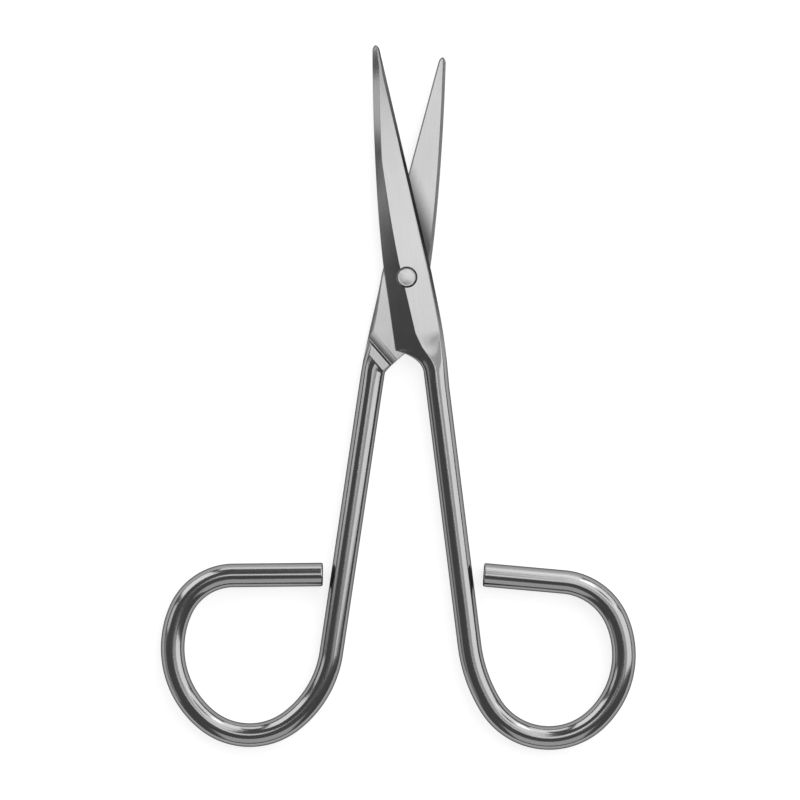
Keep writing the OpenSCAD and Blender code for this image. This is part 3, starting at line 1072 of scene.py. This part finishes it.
@dataclass
class Studio:
    """Floor, lamps, surroundings and camera."""

    view_across: float = 0.128
    view_centre: Point = (-0.00109, -0.0196)
    view_plane: float = 0.0019
    lens: float = 200.0
    sensor: float = 36.0
    floor_size: float = 3.0
    floor_white: float = 0.97
    floor_lit: float = 0.22
    room: float = 0.15
    softboxes: tuple[Softbox, ...] = (
        Softbox("top_softbox", (0.01, 0.0825, 1.1), (0.01, 0.0825, 0.0), 0.3, 0.235, 1.75),
        Softbox("root_softbox", (0.11, -0.073, 1.1), (0.11, -0.073, 0.0), 0.12, 0.074, 1.5),
        Softbox("top_right_softbox", (0.4, -0.02, 1.1), (0.4, -0.02, 0.0), 0.44, 0.44, 0.7),
        Softbox("upper_softbox", (0.34, 0.5, 1.1), (0.34, 0.5, 0.0), 0.54, 0.6, 1.7),
        Softbox("far_upper_softbox", (0.33, 0.82, 0.66), (0.03, 0.0, 0.0), 0.56, 0.56, 1.8),
        Softbox("right_softbox", (0.6, 0.04, 0.44), (0.0, 0.0, 0.0), 0.46, 0.66, 1.8),
        Softbox("upper_right_softbox", (0.52, 0.5, 0.36), (0.0, 0.0, 0.0), 0.5, 0.46, 1.85),
        Softbox("far_softbox", (0.05, 0.76, 0.19), (0.0, 0.0, 0.0), 0.6, 0.34, 1.7),
        Softbox("upper_left_softbox", (-0.5, 0.53, 0.38), (0.0, 0.0, 0.0), 0.5, 0.62, 1.95),
        Softbox("left_softbox", (-0.71, 0.13, 0.35), (0.0, 0.0, 0.0), 0.22, 0.36, 1.2),
        Softbox("near_softbox", (0.03, -0.6, 0.36), (0.0, -0.05, 0.0), 0.6, 0.5, 0.75),
        Softbox("low_left_softbox", (-0.74, -0.24, 0.18), (0.0, 0.0, 0.0), 0.5, 0.28, 0.4),
    )

    def build(self) -> None:
        """Sets up the whole studio."""
        self.lay_floor()
        self.set_room()
        for softbox in self.softboxes:
            softbox.build()
        self.set_camera()

    def lay_floor(self) -> None:
        """Lays the pale sheet that the scissors lie on, white to the eye and in the steel."""
        bm = bmesh.new()
        bmesh.ops.create_grid(bm, x_segments=1, y_segments=1, size=self.floor_size)
        floor = object_of("floor", bm)
        material = bpy.data.materials.new("white_sheet")
        material.use_nodes = True
        net = Net(material.node_tree)
        path = net.node("ShaderNodeLightPath")
        rays = ("Camera", "Glossy", "Transmission")
        seen = [Value(net, path.outputs[f"Is {ray} Ray"]) for ray in rays]
        shown = (seen[0] + seen[1] + seen[2]).held()
        glow = self.floor_white - self.floor_lit
        shader = net.node(
            "ShaderNodeBsdfPrincipled",
            {},
            {
                "Base Color": grey(0.45),
                "Roughness": 1.0,
                "Specular IOR Level": 0.0,
                "Emission Color": net.blend(grey(0.0), grey(1.0), shown),
                "Emission Strength": glow,
            },
        )
        net.node("ShaderNodeOutputMaterial", {}, {0: Value(net, shader.outputs[0])})
        floor.data.materials.append(material)

    def set_room(self) -> None:
        """Sets the dim room round the lamps."""
        world = bpy.data.worlds.new("dim_room")
        bpy.context.scene.world = world
        world.use_nodes = True
        net = Net(world.node_tree)
        room = net.node("ShaderNodeBackground", {}, {"Color": grey(1.0), "Strength": self.room})
        net.node("ShaderNodeOutputWorld", {}, {0: Value(net, room.outputs[0])})

    def set_camera(self) -> None:
        """Sets the camera straight above, framed as the photograph is."""
        data = bpy.data.cameras.new("camera")
        data.lens, data.sensor_width = self.lens, self.sensor
        data.clip_start, data.clip_end = 0.01, 20.0
        camera = bpy.data.objects.new("camera", data)
        bpy.context.scene.collection.objects.link(camera)
        height = self.view_across / 2 / (self.sensor / 2 / self.lens)
        camera.location = (*self.view_centre, self.view_plane + height)
        camera.rotation_euler = (0, 0, 0)
        bpy.context.scene.camera = camera


def rivet_bore(radius: float) -> tuple[Point, ...]:
    """The plain hole in the front half, as a turned outline in that half's own frame."""
    return ((0.0, -1.0), (radius, -1.0), (radius, 3.0), (0.0, 3.0))


def rivet_seat(rivet: Rivet) -> tuple[Point, ...]:
    """The countersunk hole in the rear half, as a turned outline in that half's own frame."""
    top = STOCK.wire_r
    slant = (rivet.tail_r - rivet.pin_r) / rivet.tail_h
    return (
        (0.0, -1.0),
        (rivet.pin_r, -1.0),
        (rivet.pin_r, top - rivet.tail_h),
        (rivet.tail_r + slant, top + 1.0),
        (0.0, top + 1.0),
    )


def main() -> None:
    """Builds the studio and the three pieces."""
    logging.basicConfig(level=logging.INFO, format="%(name)s: %(message)s")
    bpy.context.scene.view_settings.view_transform = "Standard"
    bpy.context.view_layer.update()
    Studio().build()
    steels = {zone: steel.make() for zone, steel in STEELS.items()}
    rivet = Rivet()
    front = Half(
        piece="front_half_steel",
        node="front_half",
        body="front",
        turned_over=False,
        lean=8.2,
        blade_len=37.5,
        tip_reach=0.82,
        crotch_y=11.3,
        crotch_power=2.3,
        root_swell=0.25,
        shank_x=2.35,
        shank_lean=1.12,
        shank_len=41.7,
        bends=((24.0, 24.3), (11.0, 101.5), (14.1, 70.2), (10.2, 61.8)),
        tail_len=12.9,
        bore=rivet_bore(1.08),
    )
    rear = Half(
        piece="rear_half_steel",
        node="rear_half",
        body="rear",
        turned_over=True,
        lean=9.4,
        blade_len=35.7,
        tip_reach=0.55,
        crotch_y=10.2,
        crotch_power=1.15,
        root_swell=0.03,
        shank_x=2.83,
        shank_lean=0.95,
        shank_len=43.3,
        bends=((16.7, 44.8), (10.9, 76.9), (14.9, 74.1), (9.3, 65.2)),
        tail_len=14.3,
        bore=rivet_seat(rivet),
    )
    for half in (front, rear):
        made = half.build(steels)
        LOG.info("%s: %d faces", made.name, len(made.data.polygons))
    steel = TurnedSteel("rivet_steel", 0.43, 0.2, rivet.head_r).make()
    made = rivet.build(steel)
    LOG.info("%s: %d faces", made.name, len(made.data.polygons))


if __name__ == "__main__":
    main()
